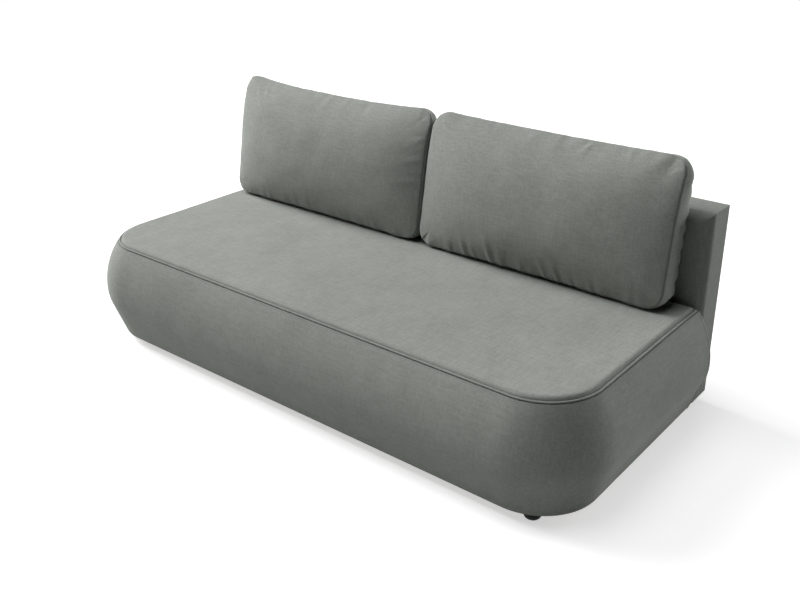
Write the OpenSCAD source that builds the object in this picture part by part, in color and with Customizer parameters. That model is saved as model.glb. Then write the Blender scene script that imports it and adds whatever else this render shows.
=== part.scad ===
// Armless sofa bed with a barrel-skirted pull-out seat, a fixed upright back and two loose back cushions.
// The seat block is a hood on a slatted carcass. It rolls forward off a fixed chassis, and its slats slide
// between the chassis slats like the teeth of two combs, so the two back cushions can be laid in the gap.
// Millimetres, Z up, X along the width, -Y to the front. Origin: floor level, centre of the outline.

/* [Seat block] */
// Width of the seat block at its widest height
seat_w = 2200; // [1900:10:2400]
// Depth of the seat block, from the bulge in front to its flat rear
seat_d = 909; // [880:1:960]
// Height of the seam round the top panel
seat_h = 409; // [395:1:430]
// Height at which the skirt bulges furthest
bulge_h = 224; // [190:1:250]
// Radius of the two front corners at the bulge
corner_r = 255; // [225:1:290]
// How far the top seam lies inside the bulge
top_inset = 63; // [50:1:70]
// How far the hem lies inside the bulge
hem_inset = 54; // [40:1:60]
// Radius of the arc just below the bulge, which runs on into a straight slope down to the hem
belly_r = 180; // [120:5:240]
// Thickness of the skirt's padding at the bulge
skirt_t = 88; // [82:1:96]
// Thickness of the fabric
cover_t = 3; // [2:0.5:4]
// Radius of the cord in the top seam
welt_r = 4; // [3:0.5:5]
// Thickness of the quilted top panel at its edge
topper_t = 10; // [8:1:14]
// How far the middle of the top panel stands above its edge
topper_crown = 6; // [3:1:9]

/* [Seat carcass] */
// Thickness of the plywood boards
board_t = 18; // [15:1:20]
// Thickness of the hem rails that carry the front feet
hem_rail_t = 18; // [14:1:22]
// Height of the mattress underside
deck_z = 258; // [245:1:270]
// Height of the two cross rails under the seat slats
seat_rail_h = 30; // [24:1:34]
// Depth of a cross rail, front to rear
rail_w = 40; // [30:1:46]
// Depth of the seat's front rail, front to rear
front_rail_w = 60; // [50:1:70]
// Distance from the seat's rear to the rear edge of its rear cross rail
rail_set = 70; // [66:1:80]

/* [Slats] */
// Width of a slat
slat_w = 58; // [50:1:60]
// Thickness of a slat
slat_t = 16; // [12:1:18]
// Distance between neighbouring seat slats, centre to centre
slat_pitch = 144; // [138:1:160]
// Thickness of the pads under the seat slats
seat_pad_t = 3; // [3:0.5:4]
// Thickness of the pads under the chassis slats
base_pad_t = 2; // [1.5:0.5:2.5]

/* [Sliding gear] */
// Free depth between the seat's front rail and the chassis's cross rail while the seat is in
cross_space = 87; // [60:1:120]
// Radius of a track roller
roller_r = 15; // [12:0.5:18]
// Width of a track roller
roller_w = 12; // [9:0.5:13]
// Radius of the stub axles
axle_r = 4; // [3:0.5:5]
// Radial clearance of a roller on its axle
axle_fit = 0.05; // [0.03:0.01:0.08]
// Depth of the C-shaped track
track_d = 22; // [20:1:26]
// Sheet thickness of the track and of the axle plates
steel_t = 2; // [1.5:0.5:3]
// Running clearance of a roller between the track's flanges, each side
track_fit = 0.3; // [0.2:0.1:0.5]
// Height of the chassis side rails
base_rail_h = 105; // [80:1:120]
// Thickness of the chassis side rails
base_rail_t = 22; // [18:1:30]

/* [Back] */
// How far each end of the upright back stands inside the seat's side bulge
back_inset = 52; // [30:2:90]
// Thickness of the upright back
back_t = 141; // [130:1:160]
// Height of the top of the back
back_h = 734; // [680:1:780]
// Height of the underside of the back
back_z = 44; // [36:1:60]
// Thickness of the back's padding
back_pad_t = 20; // [12:1:24]
// Thickness of the hardboard panels
panel_t = 4; // [3:1:6]
// Thickness of the back's timber rails and posts
timber_t = 40; // [30:1:50]
// Radius of the back's front top edge
back_edge_r = 26; // [12:1:40]
// Radius of the back's upright front edges
back_side_r = 20; // [8:1:30]
// Gap between the seat's rear and the back
back_gap = 3; // [2:0.5:6]

/* [Cushions] */
// Width of a back cushion between its end seams
cushion_w = 984; // [850:2:1010]
// Height of a back cushion between its seams
cushion_h = 500; // [430:2:530]
// Width of the band between the two seams
cushion_band = 96; // [80:1:120]
// How far the front face swells
front_crown = 46; // [30:1:60]
// How far the rear face swells
rear_crown = 34; // [20:1:45]
// How far the band swells
band_swell = 5; // [2:1:14]
// How far the long edges are drawn in at mid-length
draw_in = 9; // [0:1:14]
// Radius of the rounded corners of the faces
cushion_corner = 70; // [40:1:90]
// Backward lean of the cushions in degrees
cushion_lean = 9; // [6:0.5:11]
// Distance of the front seam's foot from the back
cushion_foot = 148; // [140:1:165]
// Shift of the pair to the left of the middle
cushion_shift = 20; // [0:1:30]
// Depth of the puckers along the lower seam
pucker = 4; // [0:1:6]

/* [Feet] */
// Height of the front feet, which is also the height of the hem
foot_h = 40; // [30:1:50]
// Radius of the feet
foot_r = 25; // [20:1:27]
// Distance of a front foot from the seat's side bulge
foot_side = 184; // [175:1:190]
// Distance of a front foot from the seat's front bulge
foot_front = 120; // [112:1:126]
// Distance of a rear foot from the end of the back
foot_rear = 120; // [80:1:160]
// Radius of the foot's threaded stud
stud_r = 4; // [3:0.5:5]

/* [Hidden] */
$fn = 64;

// Places along Y: bulge in front, rear of the seat, faces of the back.
back_w = seat_w - 2 * back_inset;
depth = seat_d + back_gap + back_t;
y_front = -depth / 2;
y_seat = y_front + seat_d;
y_back = y_seat + back_gap;
y_rear = depth / 2;

// Faces of the carcass: the boards stand behind the padding.
board_x = seat_w / 2 - skirt_t;
inner_x = board_x - board_t;
y_board = y_front + skirt_t;
y_inner = y_board + board_t;
corner_x = seat_w / 2 - corner_r;
corner_y = y_front + corner_r;
hem_top = foot_h + hem_rail_t;
pad_top = seat_h - topper_t;

// Levels of the deck, from the slats down to the chassis.
rail_top = deck_z - slat_t - seat_pad_t;
rail_gap = 4;
base_rail_top = rail_top - seat_rail_h - rail_gap;
base_rail_z = base_rail_top - base_rail_h;
track_z = base_rail_top - base_rail_h / 2;

// Sliding gear across X, from the board inwards.
track_gap = 8;
track_x = inner_x - track_gap;
base_x = track_x - track_d;
axle_head = 2;
axle_play = 0.8;
roller_play = 0.3;
head_x = base_x + steel_t + axle_play;
roller_x = head_x + axle_head + roller_play;
track_half = roller_r + track_fit;
stop_l = 8;
stop_gap = 3;

// How far forward a chassis piece may reach at a given X, inside the rounded corners of the carcass.
function front_at(x) = x > corner_x
    ? corner_y - sqrt(pow(inner_x - corner_x, 2) - pow(x - corner_x, 2)) + track_gap
    : y_inner + track_gap;
base_front = front_at(base_x);
track_front = front_at(track_x);

// The seat pulls forward until its rear rail is just behind the chassis's cross rail.
seat_rail_y = y_seat - rail_set - rail_w;
base_cross_y = y_inner + front_rail_w + cross_space;
cross_gap = 6;
travel = seat_rail_y - base_cross_y - rail_w - cross_gap;
rail_fit = 0.2;
track_end = y_seat - 4;
roller_y_rear = track_end - stop_l - stop_gap - roller_r;
roller_y_front = track_front + travel + stop_l + stop_gap + roller_r;

ledger_w = 50;
slat_start = 30;
slat_end = 8;
slats_n = floor((inner_x - slat_w) / slat_pitch);

// Inside of the back, from the fabric inwards.
back_in = cover_t + back_pad_t;
frame_y = y_back + back_in + panel_t;
frame_end = y_rear - cover_t - panel_t;
frame_x = back_w / 2 - back_in;
frame_top = back_h - back_in;
frame_z = back_z + cover_t;
lower_top = deck_z;
bolt_r = 4;
bolt_fit = 0.2;
bolt_set = 34;
bolt_x = base_x - base_rail_t - bolt_set;
bolt_zs = [base_rail_z + 0.28 * base_rail_h, base_rail_z + 0.72 * base_rail_h];
bolt_l = 62;
bolt_head_h = 5;
bracket_t = 3;
bracket_l = 62;
bracket_margin = 4;
mid_rail_h = base_rail_h - 10;
rear_r = 4;
base_r = 2;
stud_fit = 0.1;
stud_spare = 4;

// Height of the seat panel under a point: crown over the middle, seam level at the edge.
function crown(u, v) = topper_crown * (1 - pow(abs(u), 4)) * (1 - pow(abs(v), 4));

// Side view of the skirt: one arc from the bulge up to the seam, and below the bulge a tighter arc that meets
// a straight slope at the angle slope_a.
top_rise = seat_h - bulge_h;
hem_drop = bulge_h - foot_h;
crest_r = (pow(top_inset, 2) + pow(top_rise, 2)) / (2 * top_inset);
slope_a = atan2(hem_drop, belly_r - hem_inset) - acos(belly_r / norm([belly_r - hem_inset, hem_drop]));

// Fabric colours as seen in daylight.
cloth = [0.50, 0.52, 0.50];
cloth_dark = [0.42, 0.44, 0.42];
foam = [0.93, 0.89, 0.72];
plywood = [0.80, 0.66, 0.45];
pine = [0.86, 0.73, 0.52];
steel = [0.62, 0.64, 0.66];
black_plastic = [0.07, 0.07, 0.07];

// Section of the skirt: X is the radius from the corner's centre, Y the height. It is moved in by back_off from
// the fabric's outside and cut to a range of heights and to the radii outside r_from.
module skirt_section(back_off = 0, z_from = foot_h, z_to = seat_h, r_from = corner_r - skirt_t) {
    far = corner_r + 10;
    lap = 4;
    belly = belly_r - back_off;
    slope_z = bulge_h - belly * sin(slope_a);
    slope_r = corner_r - belly_r + belly * cos(slope_a);
    hem_r = corner_r - hem_inset - back_off / cos(slope_a);
    difference() {
        translate([r_from, z_from])
            square([corner_r - back_off - r_from, z_to - z_from]);
        difference() {
            translate([0, bulge_h])
                square([far + 1, top_rise + 1]);
            translate([corner_r - crest_r, bulge_h])
                circle(r = crest_r - back_off, $fn = 400);
        }
        difference() {
            translate([0, slope_z])
                square([far + 1, bulge_h - slope_z]);
            translate([corner_r - belly_r, bulge_h])
                circle(r = belly, $fn = 400);
        }
        polygon([[hem_r, foot_h - 2 * cover_t], [far + 1, foot_h - 2 * cover_t], [far + 1, slope_z + lap],
                 [slope_r + lap, slope_z + lap], [slope_r, slope_z], [hem_r, foot_h]]);
    }
}

// A section swept along one side, one front corner or the front. Its X is the radius from the corner's centre.
module along_side(side, y_end = y_seat) {
    translate([side * corner_x, y_end, 0])
        mirror([side < 0 ? 1 : 0, 0, 0])
            rotate([90, 0, 0])
                linear_extrude(height = y_end - corner_y)
                    children();
}
module round_corner(side) {
    translate([side * corner_x, corner_y, 0])
        mirror([side < 0 ? 1 : 0, 0, 0])
            rotate([0, 0, -90])
                rotate_extrude(angle = 90)
                    children();
}
module along_front() {
    translate([corner_x, corner_y, 0])
        rotate([0, 0, -90])
            rotate([90, 0, 0])
                linear_extrude(height = 2 * corner_x)
                    children();
}
module all_round(y_end = y_seat) {
    for (side = [-1, 1]) {
        along_side(side, y_end) children();
        round_corner(side) children();
    }
    along_front() children();
}

// Outline of the seat block in plan, drawn in by an amount, square at the rear.
module seat_outline(inset, y_end = y_seat) {
    half = seat_w / 2 - inset;
    r = corner_r - inset;
    union() {
        translate([-half, corner_y])
            square([2 * half, y_end - corner_y]);
        translate([-corner_x, y_front + inset])
            square([2 * corner_x, corner_r]);
        for (side = [-1, 1])
            translate([side * corner_x, corner_y])
                circle(r = r);
    }
}

// Rectangle with its own radius at each corner: lower left, lower right, upper right, upper left.
module round_rect(x0, y0, x1, y1, r) {
    union() {
        polygon([[x0 + r[0], y0], [x1 - r[1], y0], [x1, y0 + r[1]], [x1, y1 - r[2]],
                 [x1 - r[2], y1], [x0 + r[3], y1], [x0, y1 - r[3]], [x0, y0 + r[0]]]);
        translate([x0 + r[0], y0 + r[0]]) circle(r = r[0]);
        translate([x1 - r[1], y0 + r[1]]) circle(r = r[1]);
        translate([x1 - r[2], y1 - r[2]]) circle(r = r[2]);
        translate([x0 + r[3], y1 - r[3]]) circle(r = r[3]);
    }
}

module box(x0, y0, z0, x1, y1, z1) {
    translate([x0, y0, z0])
        cube([x1 - x0, y1 - y0, z1 - z0]);
}

// Seat block: covers and padding

// Sewn skirt of fabric: a thin shell with a return under the hem and a closed rear end on each side.
module seat_cover() {
    color(cloth) difference() {
        union() {
            all_round(y_seat - cover_t) cover_section();
            for (side = [-1, 1])
                end_panel(side);
        }
        for (side = [-1, 1])
            foot_place(side)
                cylinder(r = stud_r + stud_fit, h = foot_h + 1);
    }
}
module cover_section() {
    difference() {
        skirt_section(z_from = foot_h - cover_t, r_from = corner_r - skirt_t);
        skirt_section(back_off = cover_t, z_from = foot_h, r_from = corner_r - skirt_t - 1);
        translate([corner_r - top_inset - cover_t, seat_h])
            circle(r = welt_r);
    }
}
module end_panel(side) {
    edge_r = corner_r - top_inset - cover_t;
    translate([side * corner_x, y_seat, 0])
        mirror([side < 0 ? 1 : 0, 0, 0])
            rotate([90, 0, 0])
                linear_extrude(height = cover_t)
                    difference() {
                        skirt_section(z_from = foot_h - cover_t);
                        translate([edge_r, seat_h])
                            circle(r = welt_r);
                        translate([0, pad_top])
                            square([edge_r, topper_t + 1]);
                    }
}

// Cord in the seam round the top panel, with its straight run along the rear.
module seat_welt() {
    color(cloth_dark) union() {
        all_round() welt_section();
        translate([seat_w / 2 - top_inset - cover_t, y_seat - welt_r, seat_h])
            rotate([0, -90, 0])
                cylinder(r = welt_r, h = seat_w - 2 * (top_inset + cover_t));
    }
}
module welt_section() {
    translate([corner_r - top_inset - cover_t, seat_h])
        circle(r = welt_r);
}

// Top panel: fabric over quilted wadding, crowned over the middle.
topper_nx = 22;
topper_ny = 10;
module seat_topper() {
    color(cloth) intersection() {
        topper_block();
        translate([0, 0, pad_top])
            linear_extrude(height = topper_t + topper_crown + 1)
                seat_outline(top_inset + cover_t + welt_r + 0.2, y_seat - 2 * welt_r - 0.2);
    }
}
module topper_block() {
    half = seat_w / 2 - top_inset;
    nx = topper_nx;
    ny = topper_ny;
    top = [for (j = [0:ny]) for (i = [0:nx]) let (u = 2 * i / nx - 1, v = 2 * j / ny - 1)
        [half * u, y_front + top_inset + (seat_d - top_inset) * (v + 1) / 2, seat_h + crown(u, v)]];
    bottom = [for (p = top) [p[0], p[1], pad_top]];
    n = (nx + 1) * (ny + 1);
    rim = concat([for (i = [0:nx - 1]) i], [for (j = [0:ny - 1]) j * (nx + 1) + nx],
                 [for (i = [nx:-1:1]) ny * (nx + 1) + i], [for (j = [ny:-1:1]) j * (nx + 1)]);
    m = len(rim);
    polyhedron(
        points = concat(top, bottom),
        faces = concat(
            [for (j = [0:ny - 1]) for (i = [0:nx - 1]) let (a = j * (nx + 1) + i) [a, a + nx + 2, a + 1]],
            [for (j = [0:ny - 1]) for (i = [0:nx - 1]) let (a = j * (nx + 1) + i) [a, a + nx + 1, a + nx + 2]],
            [for (k = [0:m - 1]) let (a = rim[k], b = rim[(k + 1) % m]) [a, b, b + n]],
            [for (k = [0:m - 1]) let (a = rim[k], b = rim[(k + 1) % m]) [a, b + n, a + n]],
            [[for (k = [m - 1:-1:0]) rim[k] + n]]
        ),
        convexity = 4
    );
}

// Fabric over the rear of the mattress.
module seat_rear_band() {
    color(cloth_dark)
        box(-board_x, y_seat - cover_t, deck_z, board_x, y_seat, pad_top);
}

module seat_mattress() {
    color(foam)
        translate([0, 0, deck_z])
            linear_extrude(height = pad_top - deck_z)
                seat_outline(skirt_t, y_seat - cover_t);
}

module padding_section() {
    skirt_section(back_off = cover_t, z_from = hem_top, z_to = pad_top);
}
module skirt_padding(side) {
    color(foam) along_side(side, y_seat - cover_t) padding_section();
}
module skirt_padding_front() {
    color(foam) along_front() padding_section();
}
module corner_padding(side) {
    color(foam) round_corner(side) padding_section();
}

// Seat block: carcass

module board_section() {
    translate([corner_r - skirt_t - board_t, hem_top])
        square([board_t, deck_z - hem_top]);
}
module side_board(side) {
    color(plywood) along_side(side, y_seat - cover_t) board_section();
}
module front_board() {
    color(plywood) along_front() board_section();
}
module corner_former(side) {
    color(plywood) round_corner(side) board_section();
}

// Hem rails lie under the boards and the padding. A plate inside each corner piece carries a foot.
module hem_section() {
    translate([corner_r - skirt_t - board_t, foot_h])
        square([skirt_t + board_t - hem_inset - cover_t / cos(slope_a), hem_rail_t]);
}
module hem_rail(side) {
    color(plywood) along_side(side, y_seat - cover_t) hem_section();
}
module hem_rail_front() {
    color(plywood) along_front() hem_section();
}
foot_plate = 34;
module hem_corner(side) {
    plate_lap = 6;
    color(plywood) difference() {
        union() {
            round_corner(side) hem_section();
            translate([0, 0, foot_h])
                linear_extrude(height = hem_rail_t)
                    intersection() {
                        seat_outline(skirt_t + board_t - plate_lap);
                        foot_place(side)
                            translate([-foot_plate, -seat_d])
                                square([2 * foot_plate, seat_d + foot_plate]);
                    }
        }
        foot_place(side)
            translate([0, 0, foot_h - 1])
                cylinder(r = stud_r + stud_fit, h = hem_rail_t);
    }
}

// Feet: turned black plastic domes on a stud.
module foot_place(side) {
    translate([side * (seat_w / 2 - foot_side), y_front + foot_front, 0])
        children();
}
module dome_foot(h, stud) {
    rotate_extrude()
        polygon([[0, 0], [foot_r * 0.72, 0], [foot_r * 0.88, h * 0.08], [foot_r * 0.97, h * 0.22],
                 [foot_r, h * 0.4], [foot_r, h * 0.8], [foot_r * 0.94, h * 0.86], [foot_r * 0.94, h],
                 [stud_r, h], [stud_r, h + stud], [0, h + stud]]);
}
module front_foot(side) {
    color(black_plastic)
        foot_place(side)
            dome_foot(foot_h - cover_t, cover_t + hem_rail_t - stud_spare);
}
rear_stud_l = 31;
module rear_foot_place(side) {
    translate([side * (back_w / 2 - foot_rear), (frame_y + frame_end) / 2, 0])
        children();
}
module rear_foot(side) {
    color(black_plastic)
        rear_foot_place(side)
            dome_foot(back_z, rear_stud_l);
}

// Cross rails end at the boards, and their front corners follow the corner formers.
module seat_front_rail() {
    color(pine)
        translate([0, 0, rail_top - seat_rail_h])
            linear_extrude(height = seat_rail_h)
                intersection() {
                    seat_outline(skirt_t + board_t + rail_fit);
                    translate([-inner_x, y_inner])
                        square([2 * inner_x, front_rail_w]);
                }
}
module seat_rear_rail() {
    color(pine)
        box(-inner_x, seat_rail_y, rail_top - seat_rail_h, inner_x, seat_rail_y + rail_w, rail_top);
}

// Slats: the seat's and the chassis's alternate across the width.
slat_r = 3;
module slat(x, y0, y1, z, t) {
    translate([x, y0, z])
        rotate([-90, 0, 0])
            linear_extrude(height = y1 - y0)
                translate([-slat_w / 2, -t])
                    round_rect(0, 0, slat_w, t, [slat_r, slat_r, slat_r, slat_r]);
}
module seat_slats() {
    color(pine)
        for (i = [-slats_n:slats_n])
            slat(i * slat_pitch, y_inner + slat_start, y_seat - slat_end, deck_z - slat_t, slat_t);
}
pad_half_x = slat_w / 2 - 4;
pad_half_y = rail_w / 2 - 8;
module slat_pad(x, y, z, t) {
    box(x - pad_half_x, y - pad_half_y, z, x + pad_half_x, y + pad_half_y, z + t);
}
module seat_slat_pads() {
    color(black_plastic)
        for (i = [-slats_n:slats_n]) {
            slat_pad(i * slat_pitch, y_inner + rail_w, rail_top, seat_pad_t);
            slat_pad(i * slat_pitch, seat_rail_y + rail_w / 2, rail_top, seat_pad_t);
        }
}

// Steel angles under the ends of the seat's rear cross rail.
module rail_brackets() {
    leg = 26;
    color(steel)
        for (side = [-1, 1])
            translate([side * inner_x, seat_rail_y + rail_w, rail_top - seat_rail_h])
                mirror([side > 0 ? 1 : 0, 0, 0])
                    difference() {
                        cube([leg, leg, seat_rail_h]);
                        translate([steel_t, steel_t, -1])
                            cube([leg, leg, seat_rail_h + 2]);
                    }
}

hub_r = axle_r + 3;

// Stub axles: a plate on the board, a shoulder, the axle and a head that holds the roller.
module stub_axle() {
    plate = 44;
    shoulder_x = roller_x + roller_w + roller_play;
    translate([inner_x - steel_t, -plate / 2, -plate / 2])
        cube([steel_t, plate, plate]);
    translate([head_x, 0, 0])
        rotate([0, 90, 0]) {
            cylinder(r = axle_r + 2, h = axle_head);
            cylinder(r = axle_r, h = inner_x - head_x);
            translate([0, 0, shoulder_x - head_x])
                cylinder(r = hub_r, h = inner_x - shoulder_x);
        }
}
module stub_axles() {
    color(steel)
        for (side = [-1, 1])
            for (y = [roller_y_rear, roller_y_front])
                translate([0, y, track_z])
                    mirror([side < 0 ? 1 : 0, 0, 0])
                        stub_axle();
}

// Nylon roller with bevelled edges and dished faces.
module roller(side, y) {
    dish = 1.5;
    rim_r = roller_r - 4;
    edge_r = roller_r - 1;
    color([0.90, 0.90, 0.87])
        translate([0, y, track_z])
            mirror([side < 0 ? 1 : 0, 0, 0])
                translate([roller_x, 0, 0])
                    rotate([0, 90, 0])
                        rotate_extrude()
                            polygon([[axle_r + axle_fit, 0], [hub_r, 0], [hub_r, dish], [rim_r, dish], [rim_r, 0],
                                     [edge_r, 0], [roller_r, 1], [roller_r, roller_w - 1], [edge_r, roller_w],
                                     [rim_r, roller_w], [rim_r, roller_w - dish], [hub_r, roller_w - dish],
                                     [hub_r, roller_w], [axle_r + axle_fit, roller_w]]);
}

// Chassis

// C-shaped track, open to the outside, along the outer face of a side rail.
module track(side) {
    color(steel)
        mirror([side < 0 ? 1 : 0, 0, 0])
            translate([0, track_end, 0])
                rotate([90, 0, 0])
                    linear_extrude(height = track_end - track_front)
                        difference() {
                            translate([base_x, track_z - track_half - steel_t])
                                square([track_d, 2 * (track_half + steel_t)]);
                            translate([base_x + steel_t, track_z - track_half])
                                square([track_d, 2 * track_half]);
                        }
}
module track_stops() {
    color(black_plastic)
        for (side = [-1, 1])
            mirror([side < 0 ? 1 : 0, 0, 0])
                for (y = [track_front, track_end - stop_l])
                    box(base_x + steel_t, y, track_z - track_half,
                        track_x - 3, y + stop_l, track_z + track_half);
}

module base_rail(side) {
    color(pine)
        mirror([side < 0 ? 1 : 0, 0, 0])
            box(base_x - base_rail_t, base_front, base_rail_z, base_x, y_back, base_rail_top);
}
module base_cross_rail() {
    color(pine)
        box(-base_x, base_cross_y, base_rail_top, base_x, base_cross_y + rail_w, rail_top);
}
module slat_ledger() {
    color(pine)
        box(-base_x, y_seat - ledger_w, base_rail_top, base_x, y_back, rail_top);
}
module base_slats() {
    color(pine)
        for (i = [-slats_n:slats_n - 1])
            slat((i + 0.5) * slat_pitch, base_cross_y, y_seat - slat_end, rail_top + base_pad_t, slat_t);
}
module base_slat_pads() {
    color(black_plastic)
        for (i = [-slats_n:slats_n - 1]) {
            slat_pad((i + 0.5) * slat_pitch, base_cross_y + rail_w / 2, rail_top, base_pad_t);
            slat_pad((i + 0.5) * slat_pitch, y_seat - ledger_w / 2, rail_top, base_pad_t);
        }
}

// Legs under the front ends of the side rails and under the middle of the cross rail.
glide_h = 5;
leg_l = 60;
module base_legs() {
    color(pine) {
        for (side = [-1, 1])
            mirror([side < 0 ? 1 : 0, 0, 0])
                box(base_x - base_rail_t, base_front, glide_h, base_x, base_front + leg_l, base_rail_z);
        box(-rail_w / 2, base_cross_y, glide_h, rail_w / 2, base_cross_y + rail_w, base_rail_top);
    }
}
module base_glides() {
    color(black_plastic) {
        for (side = [-1, 1])
            translate([side * (base_x - base_rail_t / 2), base_front + leg_l / 2, 0])
                cylinder(r = base_rail_t / 2 - 1, h = glide_h);
        translate([0, base_cross_y + rail_w / 2, 0])
            cylinder(r = rail_w / 2 - 4, h = glide_h);
    }
}

// Steel angles that bolt the side rails to the back.
module base_brackets() {
    color(steel)
        for (side = [-1, 1])
            mirror([side < 0 ? 1 : 0, 0, 0])
                difference() {
                    union() {
                        box(base_x - base_rail_t - bracket_t, y_back - bracket_l, base_rail_z + bracket_margin,
                            base_x - base_rail_t, y_back, base_rail_top - bracket_margin);
                        box(base_x - base_rail_t - bracket_l, y_back - bracket_t, base_rail_z + bracket_margin,
                            base_x - base_rail_t, y_back, base_rail_top - bracket_margin);
                    }
                    bolt_holes(bolt_r + bolt_fit);
                }
}
module bolt_holes(r) {
    for (z = bolt_zs)
        translate([bolt_x, y_back - bracket_t - 2, z])
            rotate([-90, 0, 0])
                cylinder(r = r, h = bolt_l + 8);
}
module both_bolt_holes() {
    for (side = [-1, 1])
        mirror([side < 0 ? 1 : 0, 0, 0])
            bolt_holes(bolt_r + bolt_fit);
}
module base_bolts() {
    color(steel)
        for (side = [-1, 1])
            mirror([side < 0 ? 1 : 0, 0, 0])
                for (z = bolt_zs)
                    translate([bolt_x, y_back - bracket_t, z])
                        rotate([-90, 0, 0]) {
                            cylinder(r = bolt_r, h = bolt_l);
                            translate([0, 0, -bolt_head_h])
                                cylinder(r = bolt_r * 1.8, h = bolt_head_h);
                        }
}

// Back

// The back's body in plan and in side view, shrunk by an amount, from a lower height.
module back_solid(off, z0, y1 = y_rear) {
    r = max(back_edge_r - off, base_r);
    s = max(back_side_r - off, base_r);
    intersection() {
        translate([back_w / 2 - off, 0, 0])
            rotate([90, 0, -90])
                linear_extrude(height = back_w - 2 * off)
                    round_rect(-y1 + (y1 == y_rear ? off : 0), z0, -y_back - off, back_h - off, [base_r, base_r, r, rear_r]);
        translate([0, 0, z0 - 1])
            linear_extrude(height = back_h - z0 + 2)
                round_rect(-back_w / 2 + off, y_back + off, back_w / 2 - off, y1 - (y1 == y_rear ? off : 0),
                           [s, s, rear_r, rear_r]);
    }
}
module back_cover() {
    color(cloth) difference() {
        back_solid(0, back_z);
        back_solid(cover_t, back_z - 10);
        both_bolt_holes();
    }
}
// Foam over the front, the top and the two ends, open to the rear and below.
module back_padding() {
    color(foam) difference() {
        back_solid(cover_t, frame_z);
        box(-frame_x, y_back, frame_z - 5, frame_x, y_rear + 5, lower_top);
        box(-frame_x, y_back + back_in, frame_z - 5, frame_x, y_rear + 5, frame_top);
    }
}
module back_front_panel() {
    color([0.55, 0.40, 0.26])
        box(-frame_x, y_back + back_in, lower_top, frame_x, frame_y, frame_top);
}
module back_lower_board() {
    color(plywood) difference() {
        box(-frame_x, y_back + cover_t, frame_z, frame_x, frame_y, lower_top);
        both_bolt_holes();
    }
}
module back_rear_panel() {
    color([0.55, 0.40, 0.26])
        box(-frame_x, frame_end, frame_z, frame_x, y_rear - cover_t, frame_top);
}
// End posts and two inner studs between the rails.
module back_posts() {
    color(pine)
        for (side = [-1, 1])
            mirror([side < 0 ? 1 : 0, 0, 0]) {
                box(frame_x - timber_t, frame_y, frame_z + timber_t, frame_x, frame_end, frame_top - timber_t);
                box(frame_x / 3 - timber_t / 2, frame_y, base_rail_z + mid_rail_h,
                    frame_x / 3 + timber_t / 2, frame_end, frame_top - timber_t);
            }
}
module back_top_rail() {
    color(pine)
        box(-frame_x, frame_y, frame_top - timber_t, frame_x, frame_end, frame_top);
}
module back_mid_rail() {
    color(pine) difference() {
        box(-frame_x + timber_t, frame_y, max(base_rail_z, frame_z + timber_t),
            frame_x - timber_t, frame_end, base_rail_z + mid_rail_h);
        both_bolt_holes();
    }
}
module back_bottom_rail() {
    color(pine) difference() {
        box(-frame_x, frame_y, frame_z, frame_x, frame_end, frame_z + timber_t);
        for (side = [-1, 1])
            rear_foot_place(side)
                translate([0, 0, back_z])
                    cylinder(r = stud_r + stud_fit, h = rear_stud_l + stud_spare);
    }
}
module back_dust_cloth() {
    inset = 2 * cover_t;
    s = max(back_side_r - inset, base_r);
    color([0.10, 0.10, 0.10]) difference() {
        translate([0, 0, back_z])
            linear_extrude(height = cover_t)
                round_rect(-back_w / 2 + inset, y_back + inset, back_w / 2 - inset, y_rear - inset,
                           [s, s, rear_r, rear_r]);
        for (side = [-1, 1])
            rear_foot_place(side)
                translate([0, 0, back_z - 1])
                    cylinder(r = stud_r + stud_fit, h = cover_t + 2);
    }
}

// Back cushions

// A boxed cushion: two crowned faces sewn to a band, leaning back, flattened where it rests on the seat
// and against the back. u runs along the width and v up the face, both from -1 to 1.
cushion_nu = 28;
cushion_nv = 12;
cushion_rows = 4;
cushion_gap = 0.3;
rest_z = seat_h + topper_crown + cushion_gap;
lean_z = rest_z + 10;
function spread(t) = sin(90 * t);
// How far a point of the face lies beyond the centres of its rounded corners, in X and up the face.
function beyond(u, v) = [abs(u) * cushion_w / 2 - (cushion_w / 2 - cushion_corner),
                         abs(v) * cushion_h / 2 - (cushion_h / 2 - cushion_corner)];
function in_corner(u, v) = let (b = beyond(u, v)) b[0] > 0 && b[1] > 0;
function corner_fit(u, v) = let (b = beyond(u, v)) in_corner(u, v) ? max(b) / norm(b) : 1;
function face_x(u, v) = let (b = beyond(u, v), k = corner_fit(u, v))
    sign(u) * (abs(u) * cushion_w / 2 - b[0] * (1 - k)) - 0.4 * draw_in * u * (1 - v * v);
function face_v(u, v) = let (b = beyond(u, v), k = corner_fit(u, v))
    sign(v) * (abs(v) * cushion_h / 2 - b[1] * (1 - k)) - draw_in * v * (1 - u * u);
function swell(u, v) = pow(1 - pow(abs(u), 3.2), 0.55) * pow(1 - pow(abs(v), 2.6), 0.55);
function ripple(u, v) = pucker * pow(max(0, -v), 4) * (1 - abs(v)) * 6
    * (cos(u * 900) + 0.6 * cos(u * 1500 + 40)) * (1 - u * u);
function face_point(u, v, front) =
    [face_x(u, v), face_v(u, v),
     front ? front_crown * swell(u, v) + ripple(u, v) : -cushion_band - rear_crown * swell(u, v)];
// The way out from the rim of the face.
function rim_way(u, v) = let (b = beyond(u, v))
    in_corner(u, v) ? [sign(u) * b[0], sign(v) * b[1]] / norm(b) : abs(u) > 0.999 ? [sign(u), 0] : [0, sign(v)];
function band_point(u, v, k) = let (t = k / cushion_rows, s = band_swell * sin(180 * t), p = face_point(u, v, true),
                                    w = rim_way(u, v))
    [p[0] + s * w[0], p[1] + s * w[1], -cushion_band * t];
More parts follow.
